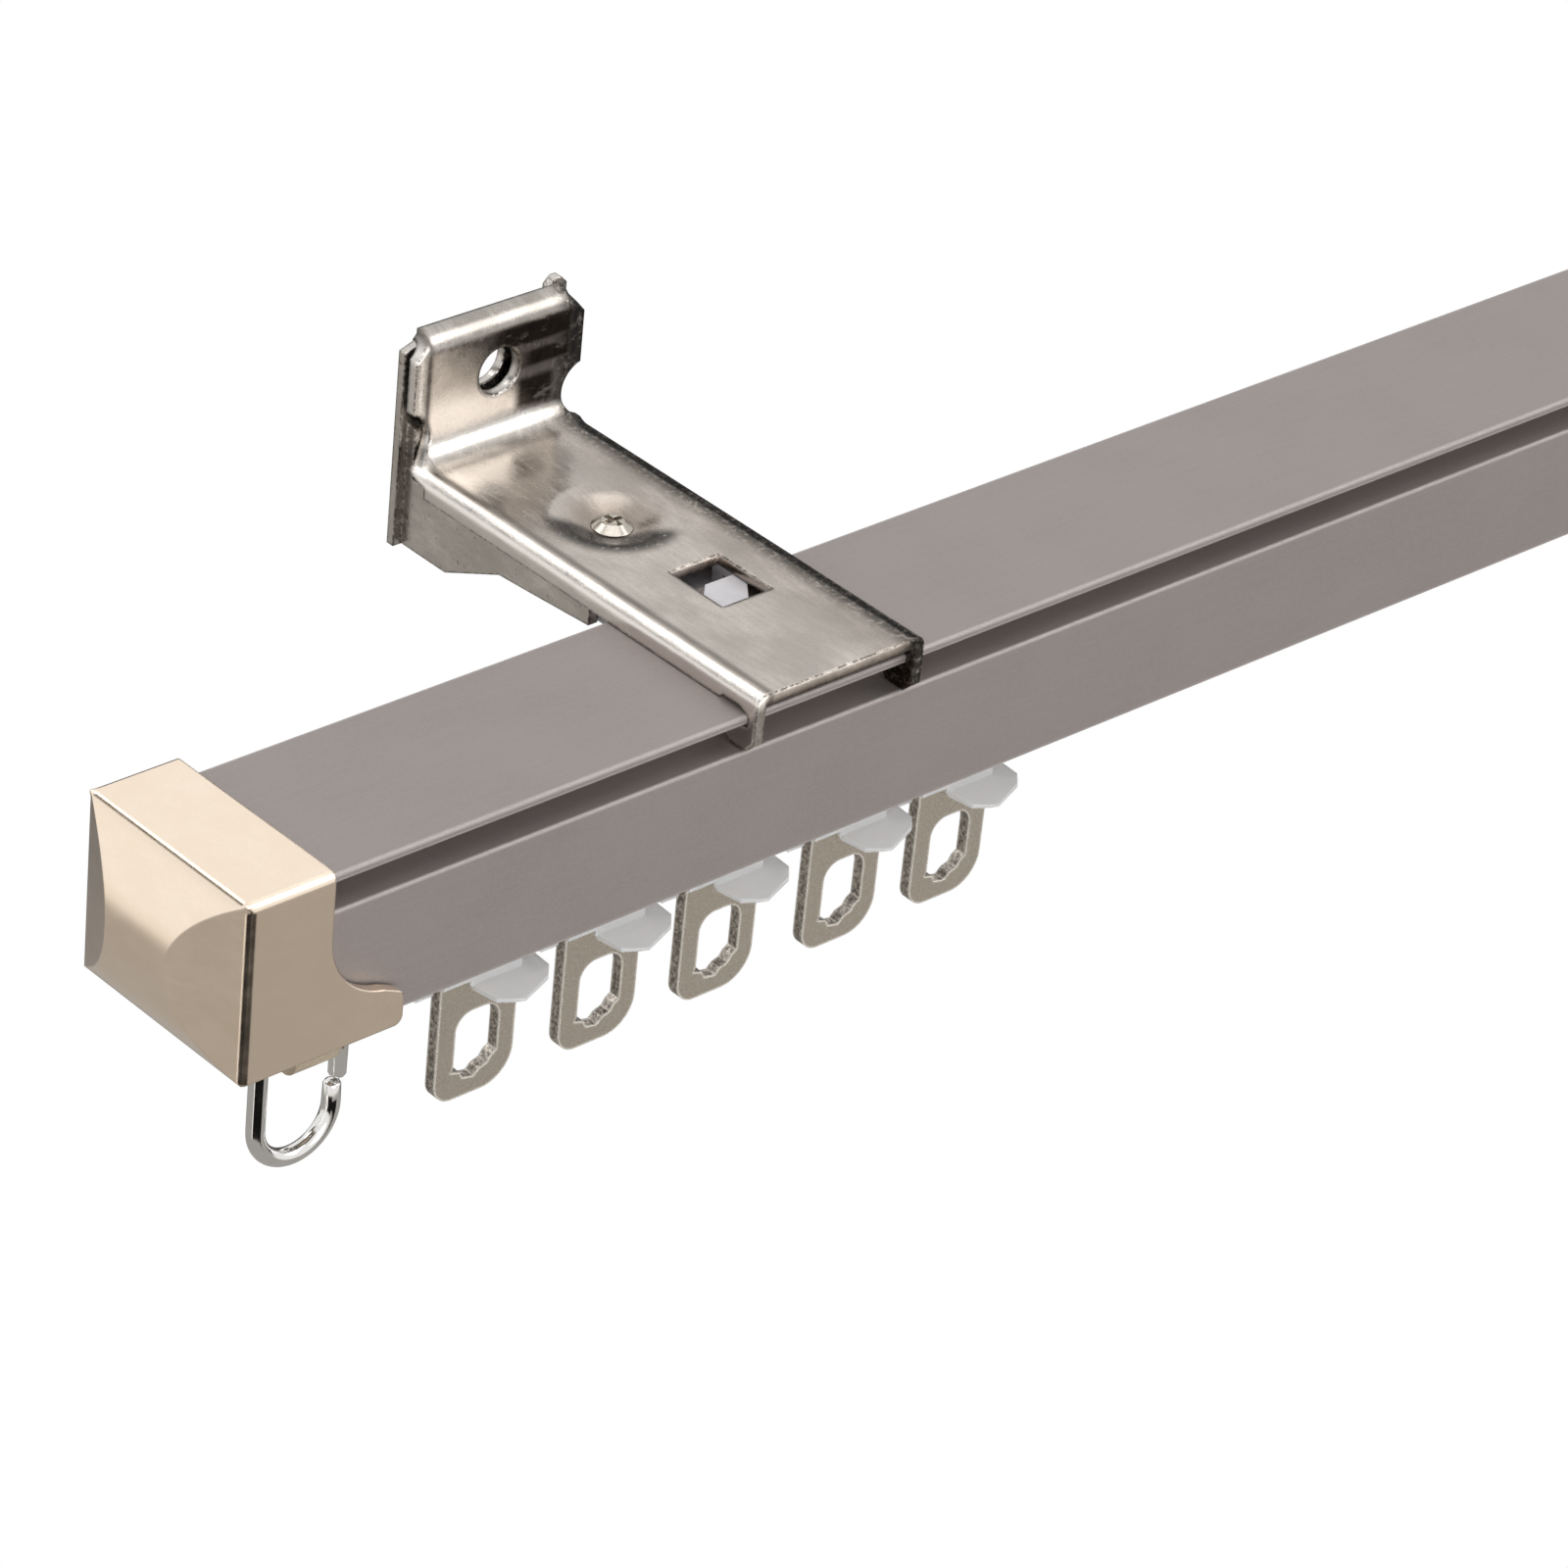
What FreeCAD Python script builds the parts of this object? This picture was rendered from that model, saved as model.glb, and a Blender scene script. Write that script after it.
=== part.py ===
import FreeCAD, Part
import math
import os
import Sketcher
from FreeCAD import Placement, Rotation, Vector

# Curtain track: a metal rail with a slot in its underside, two wall brackets that clip on its top,
# two end caps with a fixed ring each, and a row of gliders that carry the curtain's hooks.
# X runs along the rail, -Y points into the room, Z is up. The origin lies on the wall, midway
# between the two wall screws.

SIZES = [
    ("track_length", 400.0, "between the outer edges of the two end caps"),
    ("wall_gap", 45.0, "wall to the middle plane of the rail"),
    ("rail_drop", 10.6, "wall screw's axis down to the rail's top"),
    ("rail_depth", 21.2, "front lip to rear lip"),
    ("rail_height", 18.2, "top to underside"),
    ("rail_wall", 1.0, "top plate, ledges and side walls"),
    ("rail_floor", 1.2, "the two flanges beside the slot"),
    ("rail_edge", 0.3, "rounding of the rail's long edges"),
    ("groove_height", 3.1, "clip groove under each lip"),
    ("groove_depth", 4.2, "clip groove, lip edge to its inner wall"),
    ("slot_width", 6.0, "slot in the underside"),
    ("fit_gap", 0.1, "clearance of pieces that are pushed on or in"),
    ("slide_gap", 0.35, "clearance beside pieces that slide"),
    ("cap_length", 9.8, "end cap along the rail, without its bulge"),
    ("cap_side", 1.55, "cap's side walls"),
    ("cap_cover", 1.5, "cap's top above the rail's top"),
    ("cap_skirt", 0.3, "cap's skirt below the rail's underside"),
    ("cap_end", 2.0, "cap's end wall at its edges"),
    ("cap_bulge", 3.7, "how far the end face stands out at half height"),
    ("cap_facet", 7.85, "sloping facet at each side of the end face"),
    ("cap_edge", 1.0, "rounding of the cap's outer edges"),
    ("tab_reach", 9.1, "foot of the front skirt beyond the cap"),
    ("tab_thick", 1.25, "thickness of that foot"),
    ("tab_start", 7.2, "cap's top down to where the foot's curve starts"),
    ("tab_curve", 8.3, "radius of the foot's hollow curve"),
    ("tab_lip", 1.6, "the curve stops this far before its lowest point"),
    ("tab_end", 3.6, "height of the foot's outer end"),
    ("tab_corner", 1.0, "rounding of the foot's outer corners"),
    ("stop_length", 20.6, "stop block inside the rail"),
    ("stop_height", 8.0, "stop block inside the rail"),
    ("lug_start", 14.6, "cap's outer edge to the lug"),
    ("lug_length", 5.3, "lug along the rail"),
    ("lug_thick", 4.8, "lug, front to back"),
    ("lug_below", 2.2, "ring's axis to the lug's lower end"),
    ("lug_round", 1.9, "rounding of the lug's lower edges"),
    ("grub_radius", 1.45, "stop block's grub screw"),
    ("grub_place", 7.4, "cap's outer edge to the grub screw"),
    ("grub_key", 1.5, "grub screw's hexagon socket, corner to corner"),
    ("ring_drop", 8.9, "rail's underside to the ring's top bar"),
    ("ring_middle", 16.6, "cap's outer edge to the ring's middle"),
    ("ring_radius", 4.6, "centre line of the ring's round end"),
    ("ring_length", 12.8, "top bar to the lowest point, centre lines"),
    ("ring_corner", 1.2, "bend beside the top bar, centre line"),
    ("ring_shift", 0.55, "the wire's upper end stands out by this"),
    ("ring_joint", 5.8, "top bar down to the wire's joint"),
    ("ring_open", 0.3, "gap between the wire's two ends"),
    ("wire_radius", 1.0, "ring's wire"),
    ("first_glider", 38.65, "cap's outer edge to the first glider"),
    ("second_glider", 54.55, "cap's outer edge to the second glider"),
    ("third_glider", 70.3, "cap's outer edge to the third glider"),
    ("fourth_glider", 87.25, "cap's outer edge to the fourth glider"),
    ("fifth_glider", 102.25, "cap's outer edge to the fifth glider"),
    ("glider_length", 9.9, "glider's stem and eyelet along the rail"),
    ("shoe_length", 9.4, "glider's shoe inside the rail"),
    ("shoe_thick", 2.6, "glider's shoe inside the rail"),
    ("shoe_bevel", 0.8, "sloping ends of the shoe"),
    ("collar_width", 8.4, "glider's collar under the slot"),
    ("collar_thick", 1.2, "glider's collar under the slot"),
    ("stem_width", 2.3, "glider's stem above the eyelet"),
    ("hood_drop", 9.2, "rail's underside to the top of the glider's hood"),
    ("hood_thick", 0.6, "hood at its root"),
    ("hood_reach", 5.5, "hood in front of the glider's middle"),
    ("hood_tip", 7.4, "hood beyond the glider's middle along the rail"),
    ("hood_slope", 0.3, "fall of the hood's outer strip"),
    ("hood_overlap", 0.2, "hood's top above the eyelet's shoulder"),
    ("stem_step", 0.5, "stem's foot above the hood, on the cap's side"),
    ("stem_taper", 1.4, "height of the stem's straight foot"),
    ("eyelet_height", 13.2, "eyelet plate below the stem"),
    ("eyelet_thick", 1.4, "eyelet plate"),
    ("eyelet_small", 2.3, "lower corner towards the cap"),
    ("eyelet_large", 3.9, "other lower corner"),
    ("window_width", 5.5, "opening in the eyelet"),
    ("window_shift", 0.1, "opening's middle from the eyelet's middle"),
    ("window_top", 3.25, "eyelet's top edge to its opening"),
    ("window_side", 6.2, "straight side of the opening"),
    ("window_dip", 1.9, "stepped seat at the foot of the opening"),
    ("window_corner", 2.0, "rounding of the opening's upper corners"),
    ("tongue_width", 6.6, "eyelet's tongue inside the stem"),
    ("tongue_height", 4.6, "eyelet's tongue inside the stem"),
    ("bracket_inset", 72.6, "cap's outer edge to the bracket's middle"),
    ("sheet_thick", 1.2, "bracket's sheet metal"),
    ("arm_width", 22.0, "bracket's arm over its side flanges"),
    ("arm_rise", 2.6, "rail's top to the arm's top"),
    ("arm_edge", 1.1, "outer bend of the arm's long edges"),
    ("claw_front", 1.2, "claw in front of the rail's lip"),
    ("claw_reach", 3.4, "claw's hook behind the lip's edge"),
    ("claw_bevel", 1.0, "sloping corners of the claw"),
    ("relief_start", 6.4, "rail's middle to the flange's relief over the rail"),
    ("relief_end", 9.5, "rail's middle to that relief's front end"),
    ("relief_rise", 0.5, "height of that relief"),
    ("screw_hole", 2.65, "radius of the wall screw's hole"),
    ("tab_stand", 3.5, "wall to the tab's front face"),
    ("tab_rise", 6.5, "wall screw's axis to the tab's top"),
    ("tab_hook", 18.6, "width of the tab's turned-over top"),
    ("curl_radius", 1.0, "inner bend of the turned-over top"),
    ("corner_drop", 2.6, "height of the tab's sloping top corners"),
    ("notch_radius", 3.2, "relief notch at each side of the tab's foot"),
    ("notch_depth", 2.3, "relief notch at each side of the tab's foot"),
    ("notch_rise", 2.9, "arm's top to the notch's middle"),
    ("bend_radius", 2.3, "bend between tab and arm"),
    ("dish_place", 22.3, "wall to the middle of the pressed dish"),
    ("dish_radius", 5.6, "pressed dish at the arm's top"),
    ("dish_floor", 2.4, "pressed dish at its floor"),
    ("dish_depth", 1.1, "pressed dish"),
    ("dish_soft", 5.0, "rounding between dish and arm"),
    ("clamp_radius", 1.25, "clamp screw's shank"),
    ("clamp_head", 2.2, "clamp screw's head"),
    ("clamp_rise", 0.75, "clamp screw's head, top to bottom"),
    ("clamp_recess", 0.5, "depth of the cross recess"),
    ("clamp_tail", 2.5, "clamp screw below the base's web"),
    ("view_width", 6.6, "window in the arm over the rail"),
    ("view_length", 8.1, "window in the arm over the rail"),
    ("view_shift", 0.9, "window's middle from the arm's middle"),
    ("view_front", 3.2, "window's front edge behind the rail's middle"),
    ("plate_thick", 1.0, "bracket's wall plate"),
    ("plate_width", 21.0, "bracket's wall plate"),
    ("plate_rise", 3.8, "wall screw's axis to the plate's shoulders"),
    ("plate_fall", 18.5, "wall screw's axis to the plate's lower edge"),
    ("ear_rise", 5.7, "wall screw's axis to the top of the plate's middle ear"),
    ("ear_inner", 3.8, "bracket's middle to the middle ear's inner side"),
    ("ear_outer", 6.5, "bracket's middle to the middle ear's outer side"),
    ("ear_drop", 1.5, "depth of the gap between the ears"),
    ("corner_ear", 8.1, "bracket's middle to the corner ear"),
    ("corner_rise", 7.0, "wall screw's axis to the corner ear's top"),
    ("ear_bevel", 0.8, "sloping corners of the ears"),
    ("base_width", 19.0, "bracket's base inside the arm"),
    ("wall_root", 8.2, "full height of the base's side walls, from the wall"),
    ("wall_knee", 16.5, "wall to the knee in the base's side walls"),
    ("wall_deep", 4.2, "base's web down to that knee"),
    ("wall_mid", 21.0, "wall to where the side walls' level part ends"),
    ("wall_level", 3.9, "base's web down to that level part"),
    ("wall_shallow", 3.2, "base's web down to the side walls' front ends"),
    ("wall_behind", 4.6, "arm's underside up to the side walls' tops"),
    ("base_reach", 30.3, "wall to the front ends of the base's side walls"),
    ("web_reach", 27.2, "wall to the front end of the base's web"),
    ("nose_reach", 3.0, "lock's nose under the rail's rear lip"),
    ("nose_bevel", 0.7, "sloping front edge of the lock's nose"),
    ("lock_thick", 1.9, "lock's slide"),
    ("pad_left", -1.3, "lock's pad, its edge towards the left end"),
    ("pad_right", 4.9, "lock's pad, its edge towards the right end"),
    ("pad_front", 4.0, "lock's pad, its front end behind the rail's middle"),
    ("pad_back", 9.1, "lock's pad, its rear end behind the rail's middle"),
    ("pad_corner", 1.9, "sloping rear corner of the lock's pad"),
    ("pad_slope", 3.7, "sloping front corner of the lock's pad, front to back"),
    ("bridge_start", 4.7, "strip that joins pad and riser, its edge towards the left end"),
    ("bridge_width", 2.4, "strip that joins pad and riser"),
    ("riser_thick", 1.6, "lock's riser behind the rail"),
    ("grip_width", 6.0, "lock's finger grip"),
    ("grip_drop", 3.2, "lock's finger grip below the slide"),
    ("lock_end", 18.4, "wall to the rear end of the lock's slide"),
    ("lock_travel", 3.4, "how far the lock slides back to free the rail"),
]

doc = FreeCAD.newDocument("CurtainTrack")
sheet = doc.addObject("Spreadsheet::Sheet", "Sizes")
for row, (alias, number, note) in enumerate(SIZES, 1):
    sheet.set("A%d" % row, alias)
    sheet.set("B%d" % row, str(number))
    sheet.setAlias("B%d" % row, alias)
    sheet.set("C%d" % row, note)
doc.recompute()


class Size:
    """A length together with the expression that gives it from the sheet."""

    def __init__(self, value, text):
        self.value = value
        self.text = text

    def __add__(self, other):
        other = as_size(other)
        return Size(self.value + other.value, "(%s + %s)" % (self.text, other.text))

    def __sub__(self, other):
        other = as_size(other)
        return Size(self.value - other.value, "(%s - %s)" % (self.text, other.text))

    def __mul__(self, other):
        other = as_size(other)
        return Size(self.value * other.value, "(%s * %s)" % (self.text, other.text))

    def __truediv__(self, other):
        other = as_size(other)
        return Size(self.value / other.value, "(%s / %s)" % (self.text, other.text))

    def __neg__(self):
        return Size(-self.value, "(-1 * %s)" % self.text)

    def __rmul__(self, other):
        return as_size(other) * self

    def __radd__(self, other):
        return as_size(other) + self

    def __rsub__(self, other):
        return as_size(other) - self


def as_size(number):
    if isinstance(number, Size):
        return number
    return Size(float(number), "%.6f" % number)


def root(size):
    return Size(math.sqrt(size.value), "sqrt(%s)" % size.text)


def cell(alias):
    return Size(float(sheet.get(alias)), "Sizes.%s" % alias)


def bind(thing, path, size):
    """Ties one property of an object to the sheet."""
    thing.setExpression(path, as_size(size).text)


def new_body(label):
    body = doc.addObject("PartDesign::Body", label)
    body.Label = label
    return body


def place(thing, x=None, y=None, z=None):
    for axis, size in (("x", x), ("y", y), ("z", z)):
        if size is not None:
            bind(thing, "Placement.Base.%s" % axis, size)


# Each plane's name, its place among the body's origin planes and the sign of its normal.
PLANES = {"XY": ("XY_Plane", 1), "XZ": ("XZ_Plane", -1), "YZ": ("YZ_Plane", 1)}


def fix_point(sketch, geometry, corner, place_u, place_v):
    """Holds one point of a sketch at a place worked out from the sheet."""
    for kind, axis, size in (("DistanceX", -2, as_size(place_u)), ("DistanceY", -1, as_size(place_v))):
        if abs(size.value) < 1e-9:
            sketch.addConstraint(Sketcher.Constraint("PointOnObject", geometry, corner, axis))
            continue
        if size.value > 0:
            held = Sketcher.Constraint(kind, -1, 1, geometry, corner, size.value)
        else:
            size = -size
            held = Sketcher.Constraint(kind, geometry, corner, -1, 1, size.value)
        number = sketch.addConstraint(held)
        bind(sketch, "Constraints[%d]" % number, size)


def draw_outline(sketch, corners, closed=True):
    """A line through the corners. A corner with a third value starts an arc of that radius (left of
    the way if positive, right of it if negative)."""
    first = sketch.GeometryCount
    count = len(corners)
    runs = count if closed else count - 1
    starts = []
    ends = []
    for index, corner in enumerate(corners[:runs]):
        here = Vector(as_size(corner[0]).value, as_size(corner[1]).value, 0)
        after = corners[(index + 1) % count]
        there = Vector(as_size(after[0]).value, as_size(after[1]).value, 0)
        if len(corner) == 2:
            number = sketch.addGeometry(Part.LineSegment(here, there), False)
        else:
            radius = as_size(corner[2]).value
            chord = there - here
            half = chord.Length / 2
            rise = abs(radius) - math.sqrt(max(radius * radius - half * half, 0.0))
            left = Vector(-chord.y, chord.x, 0).normalize()
            top = (here + there) / 2 + left * math.copysign(rise, radius)
            number = sketch.addGeometry(Part.Arc(here, top, there), False)
            curve = Sketcher.Constraint("Radius", number, abs(radius))
            bind(sketch, "Constraints[%d]" % sketch.addConstraint(curve),
                 as_size(corner[2]) * (1 if radius > 0 else -1))
        near = (sketch.getPoint(number, 1) - here).Length < 1e-6
        starts.append(1 if near else 2)
        ends.append(2 if near else 1)
    for index, corner in enumerate(corners[:runs]):
        after = (index + 1) % count
        if after < runs:
            sketch.addConstraint(
                Sketcher.Constraint("Coincident", first + index, ends[index], first + after, starts[after]))
        fix_point(sketch, first + index, starts[index], corner[0], corner[1])
    if not closed:
        fix_point(sketch, first + runs - 1, ends[-1], corners[-1][0], corners[-1][1])


def draw_circle(sketch, centre_u, centre_v, radius):
    centre = Vector(as_size(centre_u).value, as_size(centre_v).value, 0)
    number = sketch.addGeometry(Part.Circle(centre, Vector(0, 0, 1), radius.value), False)
    held = sketch.addConstraint(Sketcher.Constraint("Radius", number, radius.value))
    bind(sketch, "Constraints[%d]" % held, radius)
    fix_point(sketch, number, 3, centre_u, centre_v)


def new_sketch(body, name, plane, level):
    """An empty sketch on one of the body's origin planes, moved along its normal to a level."""
    role, sign = PLANES[plane]
    sketch = body.newObject("Sketcher::SketchObject", name + "_sketch")
    support = [item for item in body.Origin.OriginFeatures if item.Role == role][0]
    sketch.AttachmentSupport = [(support, "")]
    sketch.MapMode = "FlatFace"
    bind(sketch, "AttachmentOffset.Base.z", sign * level)
    return sketch


def extrude(body, kind, name, plane, low, high, outlines=(), circles=()):
    """Adds (Pad) or removes (Pocket) the outlines between two places along the plane's normal."""
    low, high = as_size(low), as_size(high)
    forward = PLANES[plane][1] > 0
    near = low if (kind == "Pad") == forward else high
    sketch = new_sketch(body, name, plane, near)
    for outline in outlines:
        draw_outline(sketch, outline)
    for circle in circles:
        draw_circle(sketch, *circle)
    feature = body.newObject("PartDesign::" + kind, name)
    feature.Profile = sketch
    bind(feature, "Length", high - low)
    return feature


def pad(body, name, plane, low, high, outlines=(), circles=()):
    return extrude(body, "Pad", name, plane, low, high, outlines, circles)


def cut(body, name, plane, low, high, outlines=(), circles=()):
    return extrude(body, "Pocket", name, plane, low, high, outlines, circles)


def box(low_u, low_v, high_u, high_v):
    return [(low_u, low_v), (high_u, low_v), (high_u, high_v), (low_u, high_v)]


def dress(body, kind, name, size, picks):
    """Rounds or chamfers the edges that pass nearest to the picked points."""
    doc.recompute()
    base = body.Tip
    names = []
    for pick in picks:
        point = Part.Vertex(Vector(*[as_size(part).value for part in pick]))
        gaps = [edge.distToShape(point)[0] for edge in base.Shape.Edges]
        names.append("Edge%d" % (gaps.index(min(gaps)) + 1))
    feature = body.newObject("PartDesign::" + kind, name)
    feature.Base = (base, sorted(set(names)))
    bind(feature, "Radius" if kind == "Fillet" else "Size", size)
    return feature


# Levels and planes that several pieces share.
track_length = cell("track_length")
wall_gap = cell("wall_gap")
middle = -wall_gap
sheet_thick = cell("sheet_thick")
fit_gap = cell("fit_gap")
slide_gap = cell("slide_gap")
rail_half = cell("rail_depth") / 2
rail_wall = cell("rail_wall")
rail_top = -cell("rail_drop")
rail_foot = rail_top - cell("rail_height")
floor_top = rail_foot + cell("rail_floor")
lip_under = rail_top - rail_wall
ledge_top = lip_under - cell("groove_height")
ledge_under = ledge_top - rail_wall
groove_depth = cell("groove_depth")
slot_half = cell("slot_width") / 2
channel_half = rail_half - rail_wall
cap_top = rail_top + cell("cap_cover")
cap_foot = rail_foot - cell("cap_skirt")
ring_axis = rail_foot - cell("ring_drop")
hood_top = rail_foot - cell("hood_drop")
arm_top = rail_top + cell("arm_rise")
arm_under = arm_top - sheet_thick
web_top = arm_under - cell("dish_depth") - fit_gap
web_under = web_top - sheet_thick
# How far a cut reaches past the solid, and how far a piece of a solid is sunk into its neighbour.
BEYOND = 2.0
SINK = 1.0


def inward(side, distance):
    """A place at the left (-1) or right (1) end, measured inward from the cap's outer edge."""
    return side * (track_length / 2 - distance)


def ordered(first, second):
    return (first, second) if first.value < second.value else (second, first)


def build_rail():
    body = new_body("rail")
    half, wall, depth = rail_half, rail_wall, groove_depth

    def side(sign):
        """One half of the section, from the slot's outer edge up to the top plate's edge."""
        return [
            (middle + sign * slot_half, rail_foot),
            (middle + sign * half, rail_foot),
            (middle + sign * half, ledge_top),
            (middle + sign * (half - depth), ledge_top),
            (middle + sign * (half - depth), lip_under),
            (middle + sign * half, lip_under),
            (middle + sign * half, rail_top),
        ]

    def inside(sign):
        """The channel's wall on one side, from the slot's inner edge up to its roof."""
        return [
            (middle + sign * slot_half, floor_top),
            (middle + sign * channel_half, floor_top),
            (middle + sign * channel_half, ledge_under),
            (middle + sign * (half - depth - wall), ledge_under),
            (middle + sign * (half - depth - wall), lip_under),
        ]

    section = side(-1) + side(1)[::-1] + inside(1) + inside(-1)[::-1]
    end = track_length / 2 - cell("cap_end") - fit_gap
    pad(body, "section", "YZ", -end, end, [section])
    picks = []
    for sign in (-1, 1):
        edge = middle + sign * half
        picks += [(0, edge, level) for level in (rail_top, lip_under, ledge_top, rail_foot)]
    dress(body, "Fillet", "edges", cell("rail_edge"), picks)
    return body


def build_end_cap(label, side):
    body = new_body(label)
    room = rail_half + fit_gap
    front = middle - room - cell("cap_side")
    back = middle + room + cell("cap_side")
    outer = inward(side, 0)
    inner = inward(side, cell("cap_length"))
    height = cap_top - cap_foot
    bulge = cell("cap_bulge")
    facet = cell("cap_facet")
    radius = height * height / (8 * bulge) + bulge / 2
    pad(body, "hood", "XZ", front, back, [[
        (outer, cap_foot, side * -1 * radius),
        (outer, cap_top),
        (inner, cap_top),
        (inner, cap_foot),
    ]])
    past = 1.4  # each facet's cut runs on in the facet's own plane by this factor
    far = inward(side, -1 * past * bulge)
    for name, edge, sign in (("front_facet", front, 1), ("rear_facet", back, -1)):
        cut(body, name, "XY", cap_foot - BEYOND, cap_top + BEYOND, [[
            (outer, edge),
            (far, edge + sign * past * facet),
            (far, edge - sign * BEYOND),
            (outer, edge - sign * BEYOND),
        ]])
    room_end = inward(side, cell("cap_end"))
    dress(body, "Fillet", "outer_edges", cell("cap_edge"), [
        (inner * 0.5 + outer * 0.5, front, cap_top),
        (inner * 0.5 + outer * 0.5, back, cap_top),
        (outer, front, cap_top - height / 2),
        (outer, back, cap_top - height / 2),
        (outer, middle, cap_top),
    ])
    cut(body, "rail_room", "XZ", middle - room, middle + room,
        [box(room_end, cap_foot - BEYOND, inner + side * -1 * BEYOND, rail_top + fit_gap)])
    curve = cell("tab_curve")
    curve_middle = inward(side, cell("cap_length") + curve)
    curve_top = cap_top - cell("tab_start")
    lip = cell("tab_lip")
    lip_end = inward(side, cell("cap_length") + curve - lip)
    lip_level = curve_top - root(curve * curve - lip * lip)
    reach = inward(side, cell("cap_length") + cell("tab_reach"))
    root_edge = inward(side, cell("cap_length") - SINK)
    pad(body, "skirt_foot", "XZ", front, front + cell("tab_thick"), [[
        (root_edge, curve_top),
        (inner, curve_top, side * curve),
        (lip_end, lip_level),
        (reach, cap_foot + cell("tab_end")),
        (reach, cap_foot),
        (root_edge, cap_foot),
    ]])
    dress(body, "Fillet", "foot_corners", cell("tab_corner"), [
        (reach, front + cell("tab_thick") / 2, cap_foot),
        (reach, front + cell("tab_thick") / 2, cap_foot + cell("tab_end")),
    ])
    return body


def build_stop_block(label, side):
    """The block that sits in the rail's end and carries the ring's lug through the slot."""
    body = new_body(label)
    start = cell("cap_end") + fit_gap
    low, high = ordered(inward(side, start), inward(side, start + cell("stop_length")))
    block_half = channel_half - fit_gap
    block_foot = floor_top + fit_gap / 2
    block_top = floor_top + cell("stop_height")
    pad(body, "block", "YZ", low, high, [box(
        middle - block_half, block_foot, middle + block_half, block_top)])
    lug_near = inward(side, cell("lug_start"))
    lug_far = inward(side, cell("lug_start") + cell("lug_length"))
    low, high = ordered(lug_near, lug_far)
    lug_half = cell("lug_thick") / 2
    lug_foot = ring_axis - cell("lug_below")
    pad(body, "lug", "YZ", low, high, [box(
        middle - lug_half, lug_foot, middle + lug_half, block_foot + SINK)])
    centre = (low + high) / 2
    dress(body, "Fillet", "lug_end", cell("lug_round"), [
        (centre, middle - lug_half, lug_foot), (centre, middle + lug_half, lug_foot)])
    cut(body, "ring_hole", "YZ", low - BEYOND, high + BEYOND, circles=[
        (middle, ring_axis, cell("wire_radius") + fit_gap)])
    cut(body, "grub_hole", "XY", block_foot - BEYOND, block_top + BEYOND, circles=[
        (inward(side, cell("grub_place")), middle, cell("grub_radius") + fit_gap / 2)])
    return body


def build_grub_screw(label, side):
    """A set screw that wedges the stop block between the rail's floor and roof."""
    body = new_body(label)
    x = inward(side, cell("grub_place"))
    radius = cell("grub_radius")
    foot = floor_top + fit_gap
    key_half = cell("grub_key") / 2
    pad(body, "shank", "XY", foot, lip_under - fit_gap / 2, circles=[(x, middle, radius)])
    corners = []
    for turn in range(6):
        angle = math.radians(60 * turn)
        corners.append((x + key_half * math.cos(angle), middle + key_half * math.sin(angle)))
    cut(body, "key_socket", "XY", foot - BEYOND, foot + radius, [corners])
    return body


# The ring's wire is a prism with this many sides, to keep the solid light.
WIRE_SIDES = 12


def build_ring(label, side):
    """A bent wire ring that hangs from the lug, with its butt joint in one leg."""
    body = new_body(label)
    radius = cell("ring_radius")
    wire = cell("wire_radius")
    corner = cell("ring_corner")
    near = inward(side, cell("ring_middle") - radius)
    far = inward(side, cell("ring_middle") + radius)
    far_top = inward(side, cell("ring_middle") + radius + cell("ring_shift"))
    bend_level = ring_axis - corner
    round_level = ring_axis - cell("ring_length") + radius
    joint_level = ring_axis - cell("ring_joint")
    wire_start = joint_level + cell("ring_open")
    way = new_sketch(body, "way", "XZ", middle)
    draw_outline(way, [
        (far_top, wire_start),
        (far_top, bend_level, side * corner),
        (far_top + side * corner, ring_axis),
        (near - side * corner, ring_axis, side * corner),
        (near, bend_level),
        (near, round_level, side * radius),
        (far, round_level),
        (far, joint_level),
    ], closed=False)
    profile = new_sketch(body, "profile", "XY", wire_start)
    corners = []
    for turn in range(WIRE_SIDES):
        angle = math.radians(360 * (turn + 0.5) / WIRE_SIDES)
        corners.append((far_top + wire * math.cos(angle), middle + wire * math.sin(angle)))
    draw_outline(profile, corners)
    doc.recompute()
    ring = body.newObject("PartDesign::AdditivePipe", "wire")
    ring.Profile = profile
    ring.Spine = (way, ["Edge%d" % (number + 1) for number in range(way.GeometryCount)])
    return body


# The edge of a hood's leaf from its root to its tip, in shares of the hood's tip and reach.
HOOD_EDGE = ((-0.17, 0.24), (-0.1, 0.77), (0.13, 0.945), (0.25, 1.0), (0.82, 0.7), (0.98, 0.46))
# Where the hood's outer strip starts to fall, as a share of the hood's reach, and the stem's width
# under the collar as a share of the collar's.
HOOD_RIDGE = 0.5
STEM_HEAD = 0.7


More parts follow.
